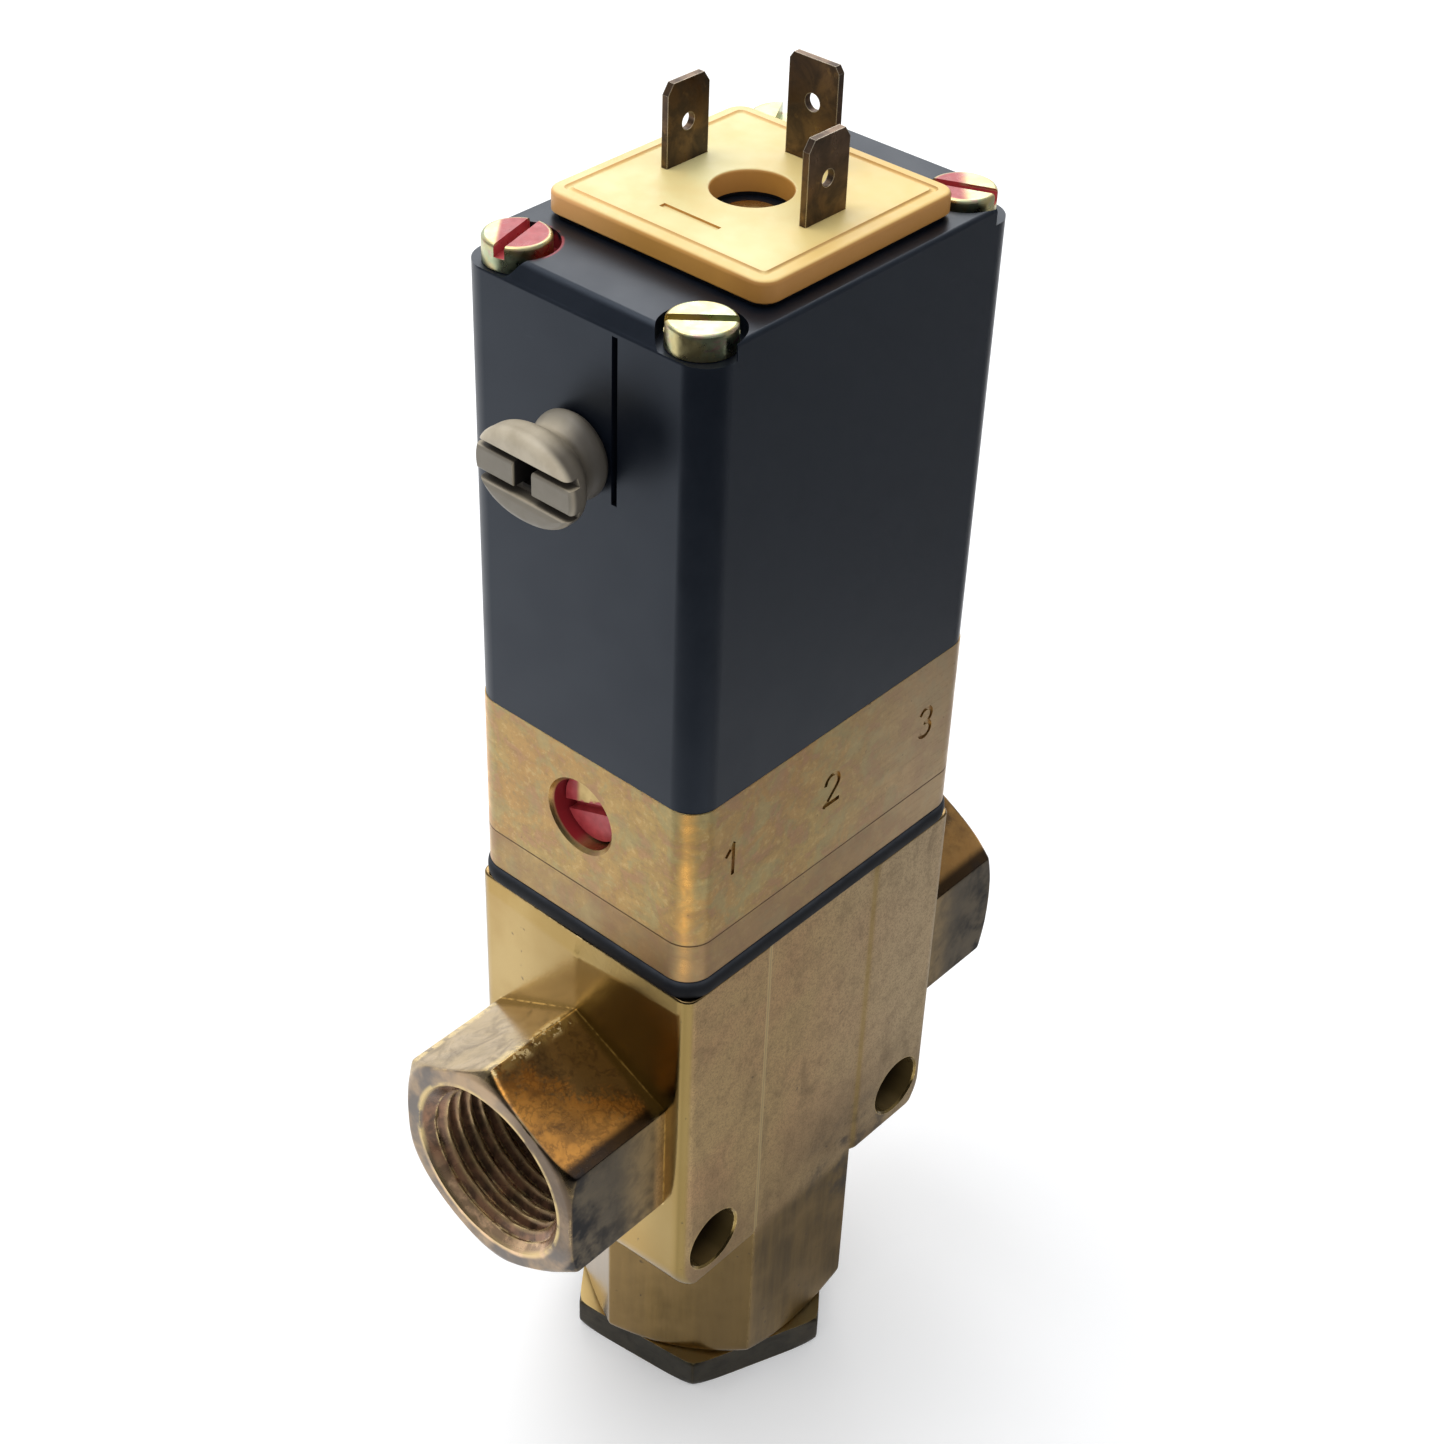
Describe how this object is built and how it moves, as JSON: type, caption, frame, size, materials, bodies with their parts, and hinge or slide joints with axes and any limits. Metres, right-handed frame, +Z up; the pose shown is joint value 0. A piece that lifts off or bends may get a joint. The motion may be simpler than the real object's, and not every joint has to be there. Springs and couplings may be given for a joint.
{
  "type": "solenoid valve",
  "caption": "Three-port servo-assisted solenoid valve: forged brass body with threaded side and bottom ports, brass pilot block, black coil housing, override knob and bladed terminal plate.",
  "frame": {"origin": "on the spindle axis, in the plane of the lower fitting's foot", "axes": "+Z up along the spindle axis, +X out of the outlet port, -X out of the supply port, -Y out of the front face with the mounting holes"},
  "size_m": [0.078, 0.0366, 0.1727],
  "materials": {
    "forged_brass": "forged, satin, patinated",
    "milled_brass": "milled, satin, patinated",
    "dark_brass": "turned, darkened",
    "inner_brass": "turned",
    "lacquered_brass": "brass with red sealing lacquer",
    "inner_steel": "machined",
    "yellow_zinc": "yellow passivated zinc",
    "seal_rubber": "matte",
    "gasket_rubber": "smooth black rubber",
    "housing_plastic": "moulded black, satin",
    "knob_plastic": "moulded khaki grey",
    "amber_plastic": "moulded amber",
    "bobbin_plastic": "moulded natural",
    "copper_wire": "enamelled copper winding",
    "tarnished_blades": "tarnished blades"
  },
  "bodies": {
    "housing": {"valve_body": "forged_brass", "port_fitting": "dark_brass", "fitting_o_ring": "seal_rubber", "nose_o_ring": "seal_rubber", "spring_seat": "inner_steel", "seat_circlip": "inner_steel", "return_spring": "inner_steel", "guide_bush": "inner_brass", "guide_o_ring": "seal_rubber", "bush_circlip": "inner_steel", "cover_gasket": "gasket_rubber", "cover_plate": "milled_brass", "pilot_o_rings": "seal_rubber", "pilot_block": "milled_brass", "seat_screw": "lacquered_brass", "seat_screw_o_ring": "seal_rubber", "exhaust_nozzle": "inner_brass", "separating_diaphragm": "seal_rubber", "clamp_plate": "inner_steel", "yoke": "inner_steel", "core": "inner_steel", "pole_shoe": "inner_steel", "bobbin": "bobbin_plastic", "winding": "copper_wire", "pivot_pin": "inner_steel", "rocker_spring": "inner_steel", "coil_housing": "housing_plastic", "override_bush": "bobbin_plastic", "tie_screws": "yellow_zinc", "plate_seal": "gasket_rubber", "terminal_plate": "amber_plastic", "plug_insert": "inner_brass", "contact_blades": "tarnished_blades", "earth_blade": "tarnished_blades"},
    "main_spindle": {"spindle": "inner_steel", "valve_disc": "inner_brass", "disc_seals": "seal_rubber", "disc_nut": "inner_brass", "servo_piston": "inner_brass", "piston_seal": "seal_rubber", "piston_nut": "inner_brass"},
    "pilot_rocker": {"rocker": "inner_steel", "flapper_pads": "seal_rubber"},
    "override": {"override_knob": "knob_plastic", "override_o_ring": "seal_rubber"}
  },
  "joints": [
    {"name": "spindle_slide", "type": "slide", "parent": "housing", "child": "main_spindle", "axis": [0, 0, -1], "range_m": [0, 0.004], "stiffness_N_per_m": 2000, "springref_m": -0.004, "deforming": ["return_spring"]},
    {"name": "override_turn", "type": "hinge", "parent": "housing", "child": "override", "pos_m": [-0.02345, 0, 0.1426], "axis": [1, 0, 0], "range_deg": [0, 90]},
    {"name": "rocker_tilt", "type": "hinge", "parent": "housing", "child": "pilot_rocker", "pos_m": [-0.007, 0, 0.1096], "axis": [0, 1, 0], "range_deg": [0, 3], "deforming": ["rocker_spring"]}
  ],
  "couplings": [
    {"joint": "rocker_tilt", "follows": "override_turn", "ratio": 0.033333}
  ]
}
